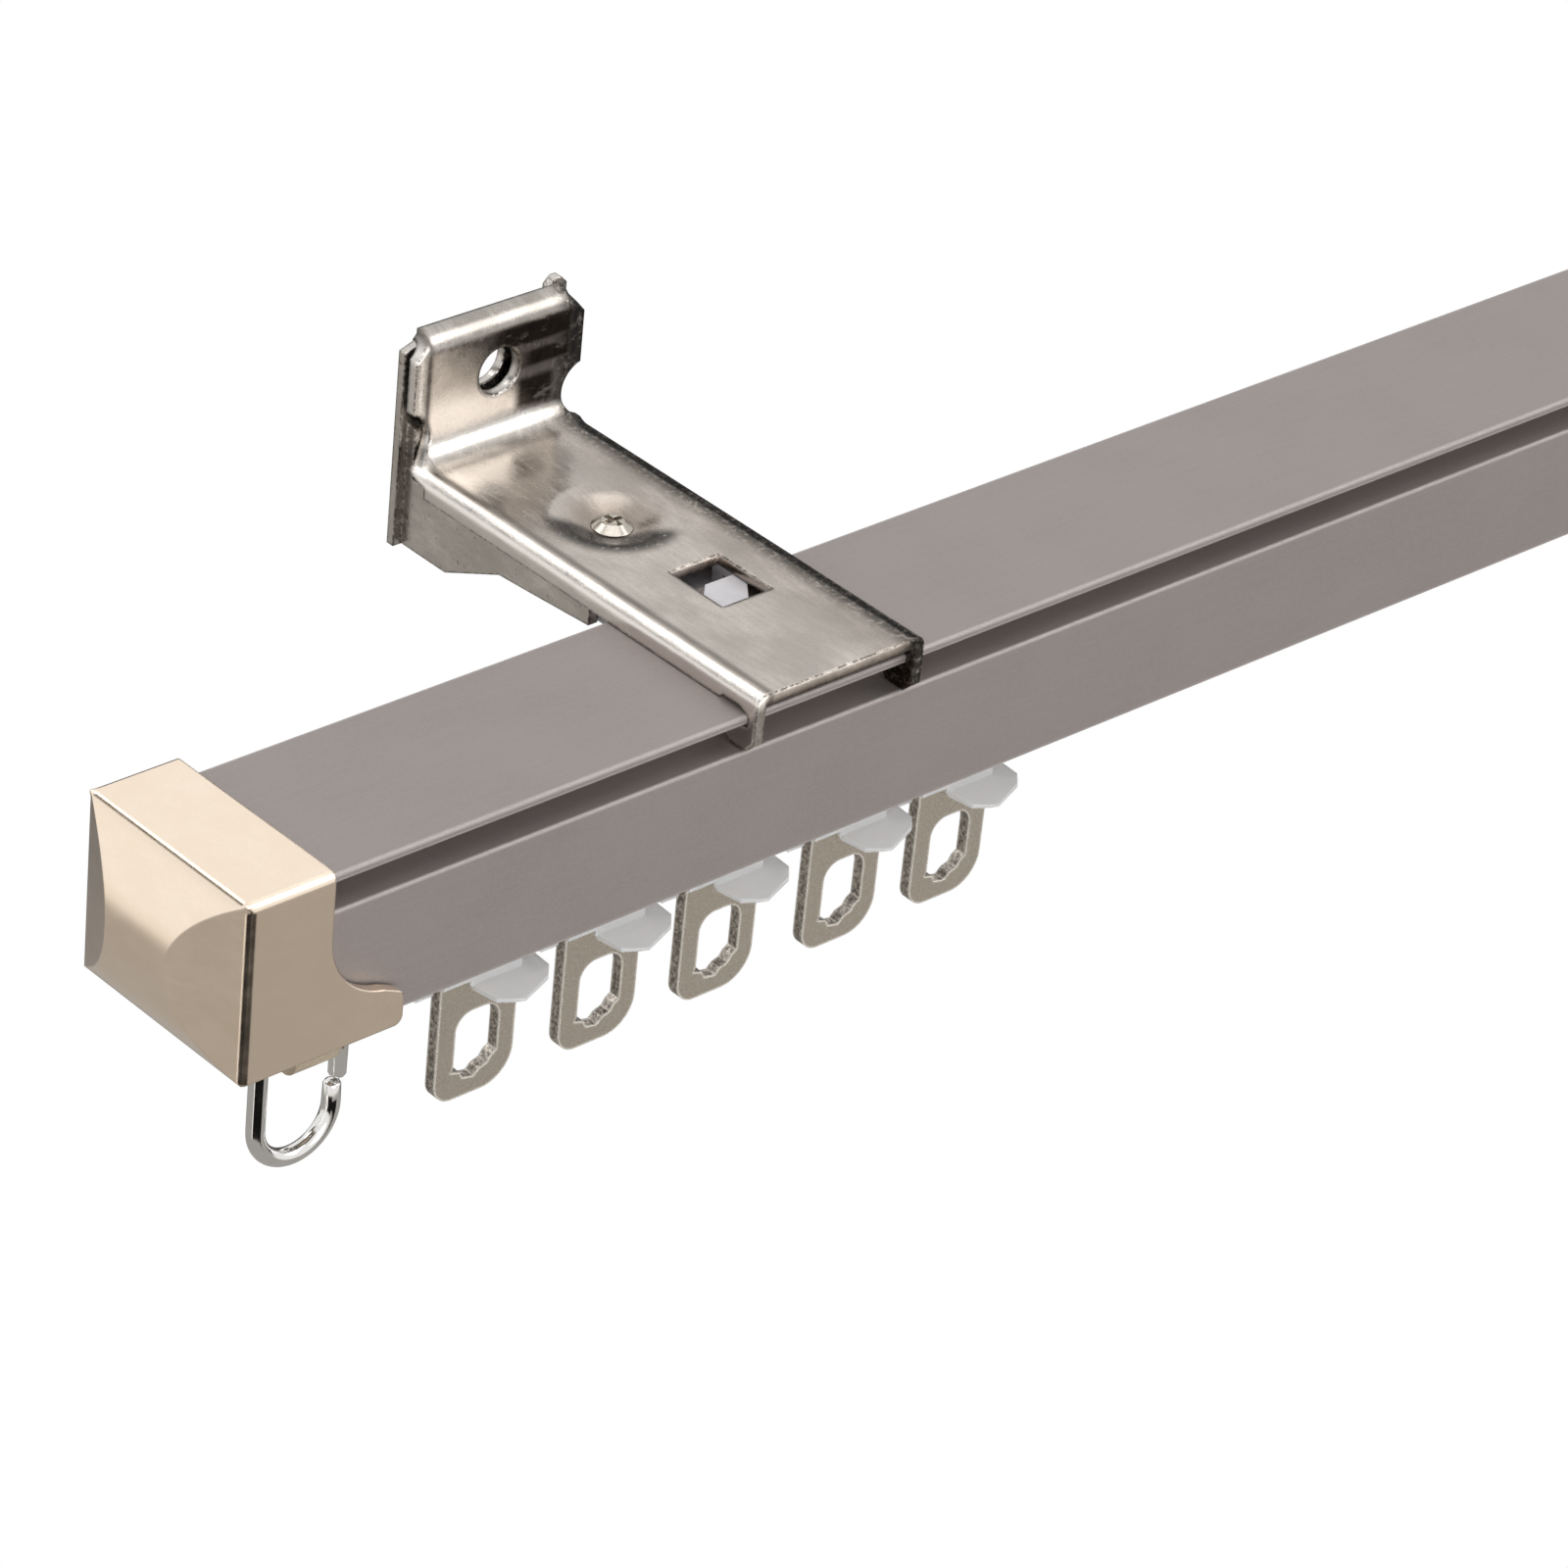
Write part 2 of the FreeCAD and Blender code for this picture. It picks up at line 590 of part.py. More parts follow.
def build_glider(label, distance):
    """The moulded glider: shoe in the channel, neck, collar, stem and a two-leaved hood."""
    body = new_body(label)
    half = cell("glider_length") / 2
    shoe_half = cell("shoe_length") / 2
    shoe_side = channel_half - slide_gap
    shoe_foot = floor_top + fit_gap
    shoe_top = shoe_foot + cell("shoe_thick")
    neck_side = slot_half - slide_gap
    collar_top = rail_foot - slide_gap
    collar_foot = collar_top - cell("collar_thick")
    collar_side = cell("collar_width") / 2
    stem_side = cell("stem_width") / 2
    shoulder = hood_top - cell("hood_overlap")
    stem_waist = shoulder + cell("stem_taper")
    stem_head = STEM_HEAD * collar_side
    pad(body, "shoe", "XY", shoe_foot, shoe_top, [box(-shoe_half, -shoe_side, shoe_half, shoe_side)])
    pad(body, "neck", "XY", collar_foot, shoe_foot + SINK, [
        box(-shoe_half, -neck_side, shoe_half, neck_side)])
    pad(body, "collar", "XY", collar_foot, collar_top, [box(-half, -collar_side, half, collar_side)])
    pad(body, "stem", "YZ", -half, half, [[
        (-stem_side, shoulder),
        (stem_side, shoulder),
        (stem_side, stem_waist),
        (stem_head, collar_foot + fit_gap),
        (-stem_head, collar_foot + fit_gap),
        (-stem_side, stem_waist),
    ]])
    reach = cell("hood_reach")
    tip = cell("hood_tip")
    thick = cell("hood_thick")
    root_line = cell("eyelet_thick") / 2 + 2 * fit_gap
    clear = slide_gap / 2
    ridge = HOOD_RIDGE * reach
    fall = cell("hood_slope") * (reach + BEYOND - ridge) / (reach - ridge)
    start = HOOD_EDGE[0][0] * tip
    cut(body, "stem_step", "YZ", -half - BEYOND, start - 2 * fit_gap, [box(
        -stem_side - BEYOND, shoulder - BEYOND, stem_side + BEYOND, hood_top + cell("stem_step"))])
    for name, sign in (("front_leaf", 1), ("rear_leaf", -1)):
        outline = [(sign * start, -1 * sign * root_line)]
        outline += [(sign * along * tip, -1 * sign * out * reach) for along, out in HOOD_EDGE]
        outline += [
            (sign * tip, -1 * sign * clear),
            (sign * (half + clear), -1 * sign * clear),
            (sign * (half + clear), -1 * sign * root_line),
        ]
        pad(body, name, "XY", hood_top - thick, hood_top, [outline])
        edge = -1 * sign * (reach + BEYOND)
        low, high = ordered(sign * -1 * tip, sign * (tip + BEYOND))
        cut(body, name + "_slope", "YZ", low, high, [[
            (-1 * sign * ridge, hood_top),
            (edge, hood_top - fall),
            (edge, hood_top + fit_gap),
            (-1 * sign * ridge, hood_top + fit_gap),
        ]])
    tongue_half = cell("tongue_width") / 2
    sheet_half = cell("eyelet_thick") / 2
    grip = fit_gap / 4
    cut(body, "tongue_pocket", "XY", shoulder - BEYOND, shoulder + cell("tongue_height") + fit_gap,
        [box(-tongue_half - grip, -sheet_half - grip, tongue_half + grip, sheet_half + grip)])
    dress(body, "Chamfer", "shoe_ends", cell("shoe_bevel"), [
        (sign * shoe_half, 0, shoe_top) for sign in (-1, 1)])
    place(body, distance - track_length / 2, middle)
    return body


# The opening's stepped seat from its left side to its right one, in shares of the opening's width
# and of the seat's dip.
SEAT = ((0, 0), (-0.05, 0.25), (0.18, 0.45), (0.24, 0.85), (0.5, 1), (0.62, 0.66), (0.8, 0.5), (0.88, 0.12),
        (1, -0.1))


def build_eyelet(label, distance):
    """The punched plate that takes the curtain's hook, with a stepped seat in its opening."""
    body = new_body(label)
    half = cell("glider_length") / 2
    sheet_half = cell("eyelet_thick") / 2
    top = hood_top - cell("hood_overlap")
    foot = top - cell("eyelet_height")
    tongue_half = cell("tongue_width") / 2
    tongue_top = top + cell("tongue_height")
    step_top = hood_top + cell("stem_step") - fit_gap
    pad(body, "plate", "XZ", -sheet_half, sheet_half, [[
        (-half, foot), (half, foot), (half, top), (tongue_half, top), (tongue_half, tongue_top),
        (-tongue_half, tongue_top), (-tongue_half, step_top), (-half, step_top)]])
    width = cell("window_width")
    dip = cell("window_dip")
    left = cell("window_shift") - width / 2
    right = cell("window_shift") + width / 2
    window_top = top - cell("window_top")
    side_foot = window_top - cell("window_side")
    seat = [(left + across * width, side_foot - down * dip) for across, down in SEAT]
    cut(body, "window", "XZ", -sheet_half - BEYOND, sheet_half + BEYOND, [
        seat + [(right, window_top), (left, window_top)]])
    dress(body, "Fillet", "small_corner", cell("eyelet_small"), [(-half, 0, foot)])
    dress(body, "Fillet", "large_corner", cell("eyelet_large"), [(half, 0, foot)])
    dress(body, "Fillet", "window_corners", cell("window_corner"), [
        (left, 0, window_top), (right, 0, window_top)])
    place(body, distance - track_length / 2, middle)
    return body


def build_arm(label, x):
    """The bracket's outer pressing: upright tab with a turned-over top, channel arm and claws."""
    body = new_body(label)
    half = cell("arm_width") / 2
    front = middle - rail_half - cell("claw_front")
    tab_front = -cell("tab_stand")
    tab_back = tab_front + sheet_thick
    tab_top = cell("tab_rise")
    bend = cell("bend_radius")
    curl = cell("curl_radius")
    curl_middle = tab_front + curl + sheet_thick
    curl_level = tab_top - curl - sheet_thick
    hook_end = -cell("plate_thick") - fit_gap
    pad(body, "folded_sheet", "YZ", -half, half, [[
        (front, arm_under),
        (tab_front - bend, arm_under, -1 * (bend + sheet_thick)),
        (tab_back, arm_top + bend),
        (tab_back, curl_level, curl),
        (curl_middle, tab_top - sheet_thick),
        (hook_end, tab_top - sheet_thick),
        (hook_end, tab_top),
        (curl_middle, tab_top, -1 * (curl + sheet_thick)),
        (tab_front, curl_level),
        (tab_front, arm_top + bend, bend),
        (tab_front - bend, arm_top),
        (front, arm_top),
    ]])
    shoulder = tab_front - bend
    overlap = arm_under + sheet_thick / 2
    flange_foot = rail_top + fit_gap
    lip_front = middle - rail_half
    claw_inner = lip_front - 1.5 * fit_gap
    claw_tip = lip_front + cell("claw_reach")
    claw_top = lip_under - 2 * fit_gap
    claw_foot = ledge_top + 2 * fit_gap
    bevel = cell("claw_bevel")
    relief_back = middle - cell("relief_start")
    relief_front = middle - cell("relief_end")
    rise = cell("relief_rise")
    flange = [
        (shoulder, overlap),
        (shoulder, flange_foot),
        (relief_back, flange_foot),
        (relief_back - rise, flange_foot + rise),
        (relief_front, flange_foot + rise),
        (claw_inner, flange_foot - 2 * fit_gap),
        (claw_inner, claw_top),
        (claw_tip - bevel, claw_top),
        (claw_tip, (claw_top + claw_foot) / 2),
        (claw_tip - bevel, claw_foot),
        (front + bevel, claw_foot),
        (front, claw_foot + bevel),
        (front, overlap),
    ]
    pad(body, "near_flange", "YZ", -half, -half + sheet_thick, [flange])
    pad(body, "far_flange", "YZ", half - sheet_thick, half, [flange])
    hook_half = cell("tab_hook") / 2
    past = half + BEYOND
    cut(body, "top_corners", "XZ", tab_front - BEYOND, BEYOND, [[
        (sign * half, tab_top - cell("corner_drop")),
        (sign * past, tab_top - cell("corner_drop")),
        (sign * past, tab_top + BEYOND),
        (sign * hook_half, tab_top + BEYOND),
        (sign * hook_half, tab_top - sheet_thick / 2),
    ] for sign in (-1, 1)])
    notch_middle = half - cell("notch_depth") + cell("notch_radius")
    notch_level = arm_top + cell("notch_rise")
    cut(body, "notches", "XZ", shoulder, tab_back + BEYOND, circles=[
        (sign * notch_middle, notch_level, cell("notch_radius")) for sign in (-1, 1)])
    cut(body, "screw_hole", "XZ", tab_front - BEYOND, tab_back + BEYOND, circles=[
        (0, 0, cell("screw_hole"))])
    view_near = middle + cell("view_front")
    view_side = cell("view_width") / 2
    view_middle = cell("view_shift")
    cut(body, "window", "XY", arm_under - BEYOND, arm_top + BEYOND, [box(
        view_middle - view_side, view_near, view_middle + view_side, view_near + cell("view_length"))])
    dress(body, "Fillet", "long_bends", cell("arm_edge"), [
        (sign * half, middle, arm_top) for sign in (-1, 1)])
    dish = -cell("dish_place")
    depth = cell("dish_depth")
    floor = cell("dish_floor")
    wide = cell("dish_radius")
    boss = body.newObject("PartDesign::AdditiveCone", "dish_boss")
    bind(boss, "Radius1", floor + sheet_thick / 2)
    bind(boss, "Radius2", wide)
    bind(boss, "Height", depth)
    place(boss, None, dish, arm_under - depth)
    hollow = body.newObject("PartDesign::SubtractiveCone", "dish_hollow")
    bind(hollow, "Radius1", floor)
    bind(hollow, "Radius2", wide)
    bind(hollow, "Height", depth)
    place(hollow, None, dish, arm_top - depth)
    dress(body, "Fillet", "dish_rim", cell("dish_soft"), [(wide, dish, arm_top)])
    cut(body, "clamp_hole", "XY", arm_under - depth - BEYOND, arm_top + BEYOND, circles=[
        (0, dish, cell("clamp_radius") + fit_gap)])
    place(body, x)
    return body


def build_base(label, x):
    """The bracket's inner pressing: wall plate with two ears, web and side walls."""
    body = new_body(label)
    thick = cell("plate_thick")
    half = cell("plate_width") / 2
    shoulder = cell("plate_rise")
    ear = cell("ear_rise")
    inner = -cell("ear_inner")
    outer = -cell("ear_outer")
    gap_level = ear - cell("ear_drop")
    bevel = cell("ear_bevel")
    corner = cell("corner_ear")
    corner_top = cell("corner_rise")
    foot = -cell("plate_fall")
    pad(body, "wall_plate", "XZ", -thick, 0, [[
        (-half, foot),
        (half, foot),
        (half, corner_top - bevel),
        (half - bevel, corner_top),
        (corner + bevel, corner_top),
        (corner, corner_top - bevel),
        (corner, gap_level),
        (inner, gap_level),
        (inner, ear),
        (outer, ear),
        (outer - bevel, ear - bevel),
        (-half, shoulder),
    ]])
    side = cell("base_width") / 2
    reach = -cell("base_reach")
    web = -cell("web_reach")
    buried = -thick / 2
    pad(body, "web", "YZ", -side, side, [box(web, web_under, buried, web_top)])
    wall_back = sheet_thick - cell("tab_stand") + fit_gap
    wall_top = arm_under + cell("wall_behind")
    wall = [
        (buried, foot + fit_gap),
        (-cell("wall_root"), foot + fit_gap),
        (-cell("wall_knee"), web_top - cell("wall_deep")),
        (-cell("wall_mid"), web_top - cell("wall_level")),
        (reach, web_top - cell("wall_shallow")),
        (reach, web_top),
        (wall_back, web_top),
        (wall_back, wall_top),
        (buried, wall_top),
    ]
    pad(body, "near_wall", "YZ", -side, -side + sheet_thick, [wall])
    pad(body, "far_wall", "YZ", side - sheet_thick, side, [wall])
    cut(body, "screw_hole", "XZ", -thick - BEYOND, BEYOND, circles=[(0, 0, cell("screw_hole"))])
    cut(body, "clamp_hole", "XY", web_under - BEYOND, web_top + BEYOND, circles=[
        (0, -cell("dish_place"), cell("clamp_radius") + fit_gap / 2)])
    place(body, x)
    return body


# Shares of the clamp screw head's radius: its flat top, and half the width of the recess's arms.
CROWN = 0.55
RECESS = 0.15


def build_clamp_screw(label, x):
    """The cross-recess screw that clamps arm and base together in the pressed dish."""
    body = new_body(label)
    dish = -cell("dish_place")
    seat = arm_top - cell("dish_depth") + fit_gap / 4
    head = cell("clamp_head")
    rise = cell("clamp_rise")
    cone = body.newObject("PartDesign::AdditiveCone", "head")
    bind(cone, "Radius1", head)
    bind(cone, "Radius2", head * CROWN)
    bind(cone, "Height", rise)
    place(cone, None, dish, seat)
    pad(body, "shank", "XY", web_under - cell("clamp_tail"), seat + rise / 2, circles=[
        (0, dish, cell("clamp_radius"))])
    slot = head * CROWN
    width = head * RECESS
    recess_foot = seat + rise - cell("clamp_recess")
    cut(body, "recess_along", "XY", recess_foot, seat + rise + BEYOND, [
        box(-slot, dish - width, slot, dish + width)])
    cut(body, "recess_across", "XY", recess_foot, seat + rise + BEYOND, [
        box(-width, dish - slot, width, dish + slot)])
    place(body, x)
    return body


# Width of the lock pad's sloping front corner as a share of its length.
PAD_SLANT = 0.8


def build_lock(label, x):
    """The moulded lock: its nose reaches under the rail's rear lip and its pad lies over it."""
    body = new_body(label)
    rail_back = middle + rail_half
    slide_top = lip_under - 2 * fit_gap
    slide_foot = slide_top - cell("lock_thick")
    wide = cell("base_width") / 2 - sheet_thick - slide_gap
    nose = rail_back - cell("nose_reach")
    back = -cell("lock_end")
    riser_front = rail_back + slide_gap
    riser_back = riser_front + cell("riser_thick")
    pad_top = arm_under - 1.5 * fit_gap
    pad_foot = rail_top + 1.5 * fit_gap
    left = cell("pad_left")
    right = cell("pad_right")
    pad_front = middle + cell("pad_front")
    pad_back = middle + cell("pad_back")
    corner = cell("pad_corner")
    slope = cell("pad_slope")
    bridge = cell("bridge_start")
    bridge_end = bridge + cell("bridge_width")
    pad(body, "slide", "XY", slide_foot, slide_top, [box(-wide, nose, wide, back)])
    pad(body, "riser", "XY", slide_foot, pad_top, [box(bridge, riser_front, bridge_end, riser_back)])
    pad(body, "upper_pad", "XY", pad_foot, pad_top, [[
        (left, pad_front),
        (right - slope * PAD_SLANT, pad_front),
        (right, pad_front + slope),
        (bridge_end, pad_back),
        (bridge_end, riser_back),
        (bridge, riser_back),
        (bridge, pad_back),
        (left + corner, pad_back),
        (left, pad_back - corner),
    ]])
    grip_front = riser_back + slide_gap
    grip_back = grip_front + cell("riser_thick")
    grip_half = cell("grip_width") / 2
    grip_foot = slide_foot - cell("grip_drop")
    buried = slide_foot + cell("lock_thick") / 2
    pad(body, "grip", "YZ", -grip_half, grip_half, [[
        (grip_front, buried),
        (grip_front, grip_foot),
        (grip_back, grip_foot),
        (grip_back + slide_gap, buried),
    ]])
    slot_side = cell("clamp_radius") + slide_gap
    screw = -cell("dish_place")
    cut(body, "screw_slot", "XY", slide_foot - BEYOND, slide_top + BEYOND, [box(
        -slot_side, screw - cell("lock_travel") - slot_side, slot_side, screw + slot_side)])
    dress(body, "Chamfer", "nose_edge", cell("nose_bevel"), [(0, nose, slide_top)])
    place(body, x)
    return body


GLIDERS = ("first", "second", "third", "fourth", "fifth")


def build_all():
    parts = [build_rail()]
    for name, side in (("left", -1), ("right", 1)):
        parts.append(build_end_cap("end_cap_" + name, side))
        parts.append(build_stop_block("stop_block_" + name, side))
        parts.append(build_grub_screw("grub_screw_" + name, side))
        parts.append(build_ring("end_ring_" + name, side))
        x = inward(side, cell("bracket_inset"))
        parts.append(build_arm("bracket_arm_" + name, x))
        parts.append(build_base("bracket_base_" + name, x))
        parts.append(build_clamp_screw("clamp_screw_" + name, x))
        parts.append(build_lock("rail_lock_" + name, x))
    for number, place_name in enumerate(GLIDERS, 1):
        distance = cell(place_name + "_glider")
        parts.append(build_glider("glider_%d" % number, distance))
        parts.append(build_eyelet("eyelet_%d" % number, distance))
    return parts


parts = build_all()
doc.recompute()
broken = [item.Label for item in doc.Objects if "Invalid" in item.State or "Error" in item.State]
for part in parts:
    if part.Shape.isNull() or not part.Shape.isValid() or len(part.Shape.Solids) != 1:
        broken.append(part.Label)
if broken:
    raise RuntimeError("not built: " + ", ".join(broken))
os.makedirs("parts", exist_ok=True)
for part in parts:
    part.Shape.exportStep("parts/%s.step" % part.Label)
    print("%-20s %9.2f mm3" % (part.Label, part.Shape.Volume))
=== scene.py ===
import math

import bmesh
import bpy
from mathutils import Matrix, Vector


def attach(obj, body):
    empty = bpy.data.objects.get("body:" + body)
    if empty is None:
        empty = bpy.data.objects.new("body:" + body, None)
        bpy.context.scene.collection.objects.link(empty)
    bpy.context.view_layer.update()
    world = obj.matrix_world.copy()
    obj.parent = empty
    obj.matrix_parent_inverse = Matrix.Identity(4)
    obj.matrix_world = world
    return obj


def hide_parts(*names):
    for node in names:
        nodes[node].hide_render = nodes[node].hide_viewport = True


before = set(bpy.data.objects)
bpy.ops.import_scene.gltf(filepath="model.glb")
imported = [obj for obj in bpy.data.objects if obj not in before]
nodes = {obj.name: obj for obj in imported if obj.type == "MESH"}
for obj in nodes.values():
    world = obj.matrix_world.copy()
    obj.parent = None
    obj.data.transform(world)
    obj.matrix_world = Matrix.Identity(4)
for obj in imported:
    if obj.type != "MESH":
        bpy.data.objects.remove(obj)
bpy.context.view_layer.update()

# The part, in millimetres: the places of its features in the shared frame.
BRACKET_PLACE = 127.4    # along X, from the row's middle to each bracket's
DISH_PLACE = -22.3       # along Y, the middle of each bracket's pressed dish
RAIL_MIDDLE = -45.0      # along Y, the plane of the rings
RING_PLACE = 183.4       # along X, from the row's middle to each ring's
RING_AXIS = -37.7        # along Z, the axis that the rings swing on

# The studio, in metres.
FLOOR_LEVEL, FLOOR_HALF = -1.0, 8.0
TABLE_LEVEL, TABLE_HALF = -0.6, 2.4
TABLE_GREY, TABLE_FAR_GREY = 0.42, 0.14
SCREEN_MIDDLE = (-0.16, -0.045)    # X and Y that the screens stand round
AROUND_GREY = 0.48                 # of the light from all round
WHITE = (1.0, 1.0, 1.0, 1.0)

# Each screen: its bearings in degrees from +X towards +Y, distance, lower and upper level, and grey.
# The behind screen darkens what leans away. The near and low ones draw the dark line down the left cap's
# corner, the low one from below what the right cap mirrors, and the bright one draws the light line beside
# it. The line screen darkens the edges between the tops and the faces to the left.
SCREENS = {
    "behind_screen": (10.0, 80.0, 1.5, TABLE_LEVEL, 0.26, 0.12),
    "near_screen": (198.0, 243.0, 0.5, -0.46, -0.20, 0.008),
    "low_screen": (243.0, 298.0, 0.5, -0.46, -0.29, 0.008),
    "bright_screen": (191.5, 197.0, 0.5, -0.46, -0.20, 1.6),
    "line_screen": (112.0, 152.0, 1.0, 0.46, 0.90, 0.13),
}

# Each lamp: its place, width and height, and power in watts.
LAMPS = {
    "top_softbox": ((-0.15, -0.15, 1.25), (1.2, 1.2), 5.2),
    "right_softbox": ((0.70, -0.78, 0.78), (0.8, 0.8), 5.0),
    "rear_softbox": ((-0.78, 0.72, 0.86), (0.8, 0.7), 3.6),
    "front_softbox": ((-0.5, -1.3, 0.25), (0.9, 0.6), 7.6),
}
LAMP_TARGET = (-0.12, -0.045, -0.02)

# The photo's camera: its axes and place, solved from the rail's edges, and its lens in millimetres.
CAMERA_RIGHT = (0.74332, -0.66285, 0.09020)
CAMERA_UP = (0.29471, 0.44553, 0.84538)
CAMERA_BACK = (-0.60053, -0.60179, 0.52651)
CAMERA_PLACE = (-0.5050, -0.4289, 0.3062)
CAMERA_LENS, CAMERA_SENSOR = 145.6, 36.0


class Shader:
    """One procedural material, with short calls for the nodes that the finishes share."""

    def __init__(self, name, **values):
        self.material = bpy.data.materials.new(name)
        self.material.use_nodes = True
        self.tree = self.material.node_tree
        self.surface = self.tree.nodes["Principled BSDF"]
        for label, value in values.items():
            self.surface.inputs[label.replace("_", " ")].default_value = value
        self.place = self.add("ShaderNodeTexCoord").outputs["Object"]

    def add(self, kind, inputs=None, **settings):
        item = self.tree.nodes.new(kind)
        for label, value in settings.items():
            setattr(item, label, value)
        for label, value in (inputs or {}).items():
            self.fill(item.inputs[label], value)
        return item

    def fill(self, socket, value):
        """Links a socket to another one, or sets its value."""
        if isinstance(value, bpy.types.NodeSocket):
            self.tree.links.new(value, socket)
        elif isinstance(value, tuple) and len(value) < len(socket.default_value):
            socket.default_value = (*value, 1.0)
        else:
            socket.default_value = value

    def to(self, label, socket):
        self.tree.links.new(socket, self.surface.inputs[label])

    def out(self, socket):
        self.tree.links.new(socket, self.tree.nodes["Material Output"].inputs["Surface"])

    def shine_out(self, colour):
        """Swaps the material's surface for a plain glow of this colour."""
        self.out(self.add("ShaderNodeEmission", {"Color": colour, "Strength": 1.0}).outputs[0])

    def math(self, operation, first, second=0.0):
        return self.add("ShaderNodeMath", {0: first, 1: second}, operation=operation).outputs[0]

    def times(self, first, second):
        return self.math("MULTIPLY", first, second)

    def most(self, *values):
        found = values[0]
        for value in values[1:]:
            found = self.math("MAXIMUM", found, value)
        return found

    def along(self, axis):
        """A point's place along one axis of the object, in millimetres."""
        place = self.add("ShaderNodeSeparateXYZ", {"Vector": self.place}).outputs[axis]
        return self.times(place, 1000.0)

    def fade(self, value, start, end):
        """0 up to start and 1 from end on, soft between them; it falls instead where end is the lower."""
        inputs = {"Value": value, "From Min": min(start, end), "From Max": max(start, end)}
        if end < start:
            inputs.update({"To Min": 1.0, "To Max": 0.0})
        return self.add("ShaderNodeMapRange", inputs, interpolation_type="SMOOTHSTEP").outputs["Result"]

    def band(self, value, low, high, soft):
        """1 between two values and 0 beyond them."""
        return self.times(self.fade(value, low - soft, low + soft),
                          self.fade(value, high + soft, high - soft))

    def noise(self, size, detail=2.0, rough=0.5, stretch=(1.0, 1.0, 1.0)):
        """Noise with features about this many millimetres wide, longer along an axis with a low stretch."""
        place = self.add("ShaderNodeMapping", {"Vector": self.place, "Scale": stretch}).outputs["Vector"]
        inputs = {"Vector": place, "Scale": 1000.0 / size, "Detail": detail, "Roughness": rough}
        return self.add("ShaderNodeTexNoise", inputs).outputs["Fac"]

    def ramp(self, factor, *stops):
        """Maps a factor through (position, grey) stops."""
        item = self.add("ShaderNodeValToRGB", {"Fac": factor})
        for element, (position, grey) in zip(item.color_ramp.elements, stops):
            element.position = position
            element.color = (grey, grey, grey, 1.0)
        return item.outputs["Color"]

    def mix(self, factor, first, second, blend="MIX"):
        """Blends two colours: the first at factor 0, the second at factor 1."""
        item = self.add("ShaderNodeMix", data_type="RGBA", blend_type=blend)
        for socket, value in zip((item.inputs[0], item.inputs[6], item.inputs[7]), (factor, first, second)):
            self.fill(socket, value)
        return item.outputs[2]

    def bump(self, height, depth, normal=None):
        """Relief of this depth in millimetres, laid over another normal where there is one."""
        inputs = {"Height": height, "Distance": depth / 1000.0, "Strength": 1.0}
        if normal is not None:
            inputs["Normal"] = normal
        return self.add("ShaderNodeBump", inputs).outputs["Normal"]

    def rounded(self, radius):
        """Softens the edges by this many millimetres."""
        return self.add("ShaderNodeBevel", {"Radius": radius / 1000.0}, samples=6).outputs["Normal"]

    def edges(self, radius):
        """1 along the edges, within about this many millimetres, and 0 elsewhere."""
        true = self.add("ShaderNodeNewGeometry").outputs["True Normal"]
        turn = self.add("ShaderNodeVectorMath", {0: self.rounded(radius), 1: true}, operation="DOT_PRODUCT")
        return self.ramp(turn.outputs["Value"], (0.86, 1.0), (0.985, 0.0))

    def sheared(self, axis):
        """1 on the faces that run along this axis, as the cut edges of a plate across it, and 0 elsewhere."""
        normal = self.add("ShaderNodeTexCoord").outputs["Normal"]
        part = self.add("ShaderNodeSeparateXYZ", {"Vector": normal}).outputs[axis]
        return self.ramp(self.math("ABSOLUTE", part), (0.35, 1.0), (0.65, 0.0))


def rail_finish():
    """Grey-brown coat, finely grained, with lines along the rail, and light edges that are a painted
    highlight.
    """
    s = Shader("rail_coat")
    grain = s.noise(0.16, 3.0, 0.65)
    drawn = s.noise(0.35, 2.0, 0.5, (0.04, 1.0, 1.0))
    cloud = s.noise(12.0, 2.0, 0.5)
    base = s.mix(s.ramp(cloud, (0.35, 0.0), (0.65, 1.0)), (0.276, 0.241, 0.229), (0.256, 0.225, 0.215))
    base = s.mix(s.ramp(drawn, (0.35, 0.0), (0.7, 0.22)), base, (0.334, 0.292, 0.278))
    base = s.mix(s.ramp(grain, (0.40, 0.0), (0.62, 0.7)), base, (0.322, 0.284, 0.270))
    # Painted highlight: the edges are lighter and less metallic, to draw bright lines along them.
    edge_highlight = s.edges(0.6)
    s.to("Base Color", s.mix(edge_highlight, base, (0.96, 0.87, 0.84)))
    s.to("Metallic", s.ramp(edge_highlight, (0.0, 0.35), (1.0, 0.05)))
    s.to("Roughness", s.ramp(grain, (0.3, 0.40), (0.7, 0.52)))
    s.to("Normal", s.bump(grain, 0.010, s.bump(drawn, 0.003, s.rounded(0.22))))
    return s.material


def cap_finish():
    """Smooth champagne plating."""
    s = Shader("cap_champagne", Metallic=1.0)
    grain = s.noise(0.22, 3.0, 0.6)
    cloud = s.noise(2.6, 3.0, 0.6, (0.5, 0.5, 1.0))
    base = s.mix(s.ramp(cloud, (0.4, 0.0), (0.65, 1.0)), (0.92, 0.775, 0.625), (0.95, 0.81, 0.665))
    s.to("Base Color", s.mix(s.ramp(grain, (0.35, 0.0), (0.7, 0.5)), base, (0.88, 0.74, 0.59)))
    s.to("Roughness", s.ramp(cloud, (0.3, 0.14), (0.7, 0.21)))
    s.to("Normal", s.bump(cloud, 0.004, s.bump(grain, 0.0006, s.rounded(0.3))))
    return s.material


